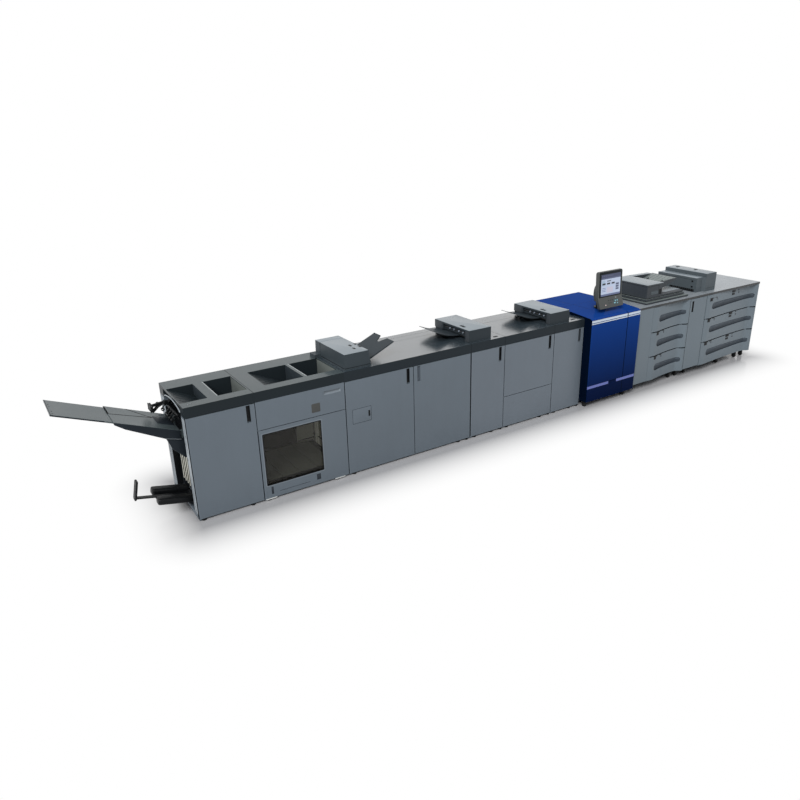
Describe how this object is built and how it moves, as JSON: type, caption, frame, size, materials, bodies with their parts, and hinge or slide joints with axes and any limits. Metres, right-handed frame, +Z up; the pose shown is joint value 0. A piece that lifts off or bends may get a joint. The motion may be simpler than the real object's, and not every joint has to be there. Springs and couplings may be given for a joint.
{
  "type": "digital production printer line",
  "caption": "Long print line: feed units with drawers, blue print engine with tilting touch panel, folder, binder, windowed stacker and booklet finisher with sloping output trays.",
  "frame": {"origin": "on the floor, under the middle of the line's box", "axes": "+X along the line from the output trays to the paper supply, +Y from the operator's side to the back, +Z up"},
  "size_m": [8.633, 0.98, 1.522],
  "materials": {
    "panel_paint": "satin powder coat, grey-blue",
    "feed_paint": "satin powder coat, mid grey",
    "cover_plastic": "finely textured, charcoal",
    "tray_plastic": "finely textured, slate grey",
    "black_plastic": "textured black",
    "screen_plastic": "smooth charcoal bezel with a dark glossy display",
    "scanner_plastic": "finely textured, dark grey",
    "pale_plastic": "smooth silver white",
    "blue_gloss": "high gloss deep blue",
    "top_laminate": "smooth satin light grey",
    "dark_metal": "satin dark grey",
    "smoked_glass": "smoked, clear gloss",
    "black_rubber": "dull black"
  },
  "bodies": {
    "root": {"finisher_cabinet": "panel_paint", "finisher_top": "cover_plastic", "end_grille": "pale_plastic", "paper_stop_arm": "black_plastic", "booklet_tray": "black_plastic", "stacker_cabinet": "panel_paint", "stacker_top": "cover_plastic", "stacker_upper_panel": "panel_paint", "stacker_platform": "dark_metal", "binder_cabinet": "panel_paint", "relay_a_cabinet": "panel_paint", "folder_cabinet": "panel_paint", "folder_lower_panel": "panel_paint", "relay_b_cabinet": "panel_paint", "cabinet_tops": "cover_plastic", "inserter_1": "cover_plastic", "inserter_2": "cover_plastic", "inserter_3": "cover_plastic", "inserter_trays": "cover_plastic", "engine_cabinet": "blue_gloss", "engine_trim": "pale_plastic", "panel_arm": "black_plastic", "feed_a_cabinet": "feed_paint", "feed_b_cabinet": "feed_paint", "feed_tops": "top_laminate", "scanner_base": "scanner_plastic", "bypass_unit": "scanner_plastic", "feet": "black_rubber", "casters": "black_rubber"},
    "finisher_door": {"finisher_door": "panel_paint"},
    "stacker_door": {"stacker_door": "panel_paint", "stacker_window": "smoked_glass"},
    "binder_door_left": {"binder_door_left": "panel_paint"},
    "binder_door_right": {"binder_door_right": "panel_paint"},
    "relay_a_door": {"relay_a_door": "panel_paint"},
    "folder_door": {"folder_door": "panel_paint"},
    "relay_b_door": {"relay_b_door": "panel_paint"},
    "engine_door": {"engine_door": "blue_gloss"},
    "feed_a_door": {"feed_a_door": "feed_paint"},
    "feed_a_drawer_1": {"feed_a_drawer_1": "feed_paint"},
    "feed_a_drawer_2": {"feed_a_drawer_2": "feed_paint"},
    "feed_a_drawer_3": {"feed_a_drawer_3": "feed_paint"},
    "feed_b_drawer_1": {"feed_b_drawer_1": "feed_paint"},
    "feed_b_drawer_2": {"feed_b_drawer_2": "feed_paint"},
    "feed_b_drawer_3": {"feed_b_drawer_3": "feed_paint"},
    "output_tray": {"output_tray": "tray_plastic"},
    "tray_extension": {"tray_extension": "tray_plastic"},
    "booklet_stop": {"booklet_stop": "black_plastic"},
    "operator_panel": {"operator_panel": "screen_plastic"},
    "document_feeder": {"document_feeder": "scanner_plastic"}
  },
  "joints": [
    {"name": "finisher_door_hinge", "type": "hinge", "parent": "root", "child": "finisher_door", "pos_m": [-3.3775, -0.365, 0.5], "axis": [0, 0, -1], "range_deg": [0, 90]},
    {"name": "stacker_door_hinge", "type": "hinge", "parent": "root", "child": "stacker_door", "pos_m": [-2.7835, -0.365, 0.5], "axis": [0, 0, -1], "range_deg": [0, 90]},
    {"name": "binder_door_left_hinge", "type": "hinge", "parent": "root", "child": "binder_door_left", "pos_m": [-1.9265, -0.365, 0.5], "axis": [0, 0, -1], "range_deg": [0, 90]},
    {"name": "binder_door_right_hinge", "type": "hinge", "parent": "root", "child": "binder_door_right", "pos_m": [-0.5015, -0.365, 0.5], "axis": [0, 0, 1], "range_deg": [0, 90]},
    {"name": "relay_a_door_hinge", "type": "hinge", "parent": "root", "child": "relay_a_door", "pos_m": [-0.4735, -0.365, 0.5], "axis": [0, 0, -1], "range_deg": [0, 90]},
    {"name": "folder_door_hinge", "type": "hinge", "parent": "root", "child": "folder_door", "pos_m": [-0.0305, -0.365, 0.5], "axis": [0, 0, -1], "range_deg": [0, 90]},
    {"name": "relay_b_door_hinge", "type": "hinge", "parent": "root", "child": "relay_b_door", "pos_m": [0.6715, -0.365, 0.5], "axis": [0, 0, -1], "range_deg": [0, 90]},
    {"name": "engine_door_hinge", "type": "hinge", "parent": "root", "child": "engine_door", "pos_m": [1.1245, -0.479, 0.5], "axis": [0, 0, -1], "range_deg": [0, 90]},
    {"name": "feed_a_door_hinge", "type": "hinge", "parent": "root", "child": "feed_a_door", "pos_m": [3.1825, -0.451, 0.5], "axis": [0, 0, 1], "range_deg": [0, 90]},
    {"name": "feed_a_drawer_1_slide", "type": "slide", "parent": "root", "child": "feed_a_drawer_1", "axis": [0, -1, 0], "range_m": [0, 0.45]},
    {"name": "feed_a_drawer_2_slide", "type": "slide", "parent": "root", "child": "feed_a_drawer_2", "axis": [0, -1, 0], "range_m": [0, 0.45]},
    {"name": "feed_a_drawer_3_slide", "type": "slide", "parent": "root", "child": "feed_a_drawer_3", "axis": [0, -1, 0], "range_m": [0, 0.45]},
    {"name": "feed_b_drawer_1_slide", "type": "slide", "parent": "root", "child": "feed_b_drawer_1", "axis": [0, -1, 0], "range_m": [0, 0.45]},
    {"name": "feed_b_drawer_2_slide", "type": "slide", "parent": "root", "child": "feed_b_drawer_2", "axis": [0, -1, 0], "range_m": [0, 0.45]},
    {"name": "feed_b_drawer_3_slide", "type": "slide", "parent": "root", "child": "feed_b_drawer_3", "axis": [0, -1, 0], "range_m": [0, 0.45]},
    {"name": "output_tray_lift", "type": "slide", "parent": "root", "child": "output_tray", "axis": [0, 0, -1], "range_m": [0, 0.2]},
    {"name": "tray_extension_slide", "type": "slide", "parent": "output_tray", "child": "tray_extension", "axis": [0.9304, 0, -0.3665], "range_m": [0, 0.33]},
    {"name": "booklet_stop_slide", "type": "slide", "parent": "root", "child": "booklet_stop", "axis": [0.9781, 0, -0.2079], "range_m": [0, 0.12]},
    {"name": "operator_panel_tilt", "type": "hinge", "parent": "root", "child": "operator_panel", "pos_m": [1.522, -0.276, 1.21], "axis": [1, 0, 0], "range_deg": [-25, 10]},
    {"name": "document_feeder_hinge", "type": "hinge", "parent": "root", "child": "document_feeder", "pos_m": [2.4985, 0.224, 1.117], "axis": [-1, 0, 0], "range_deg": [0, 60]}
  ]
}
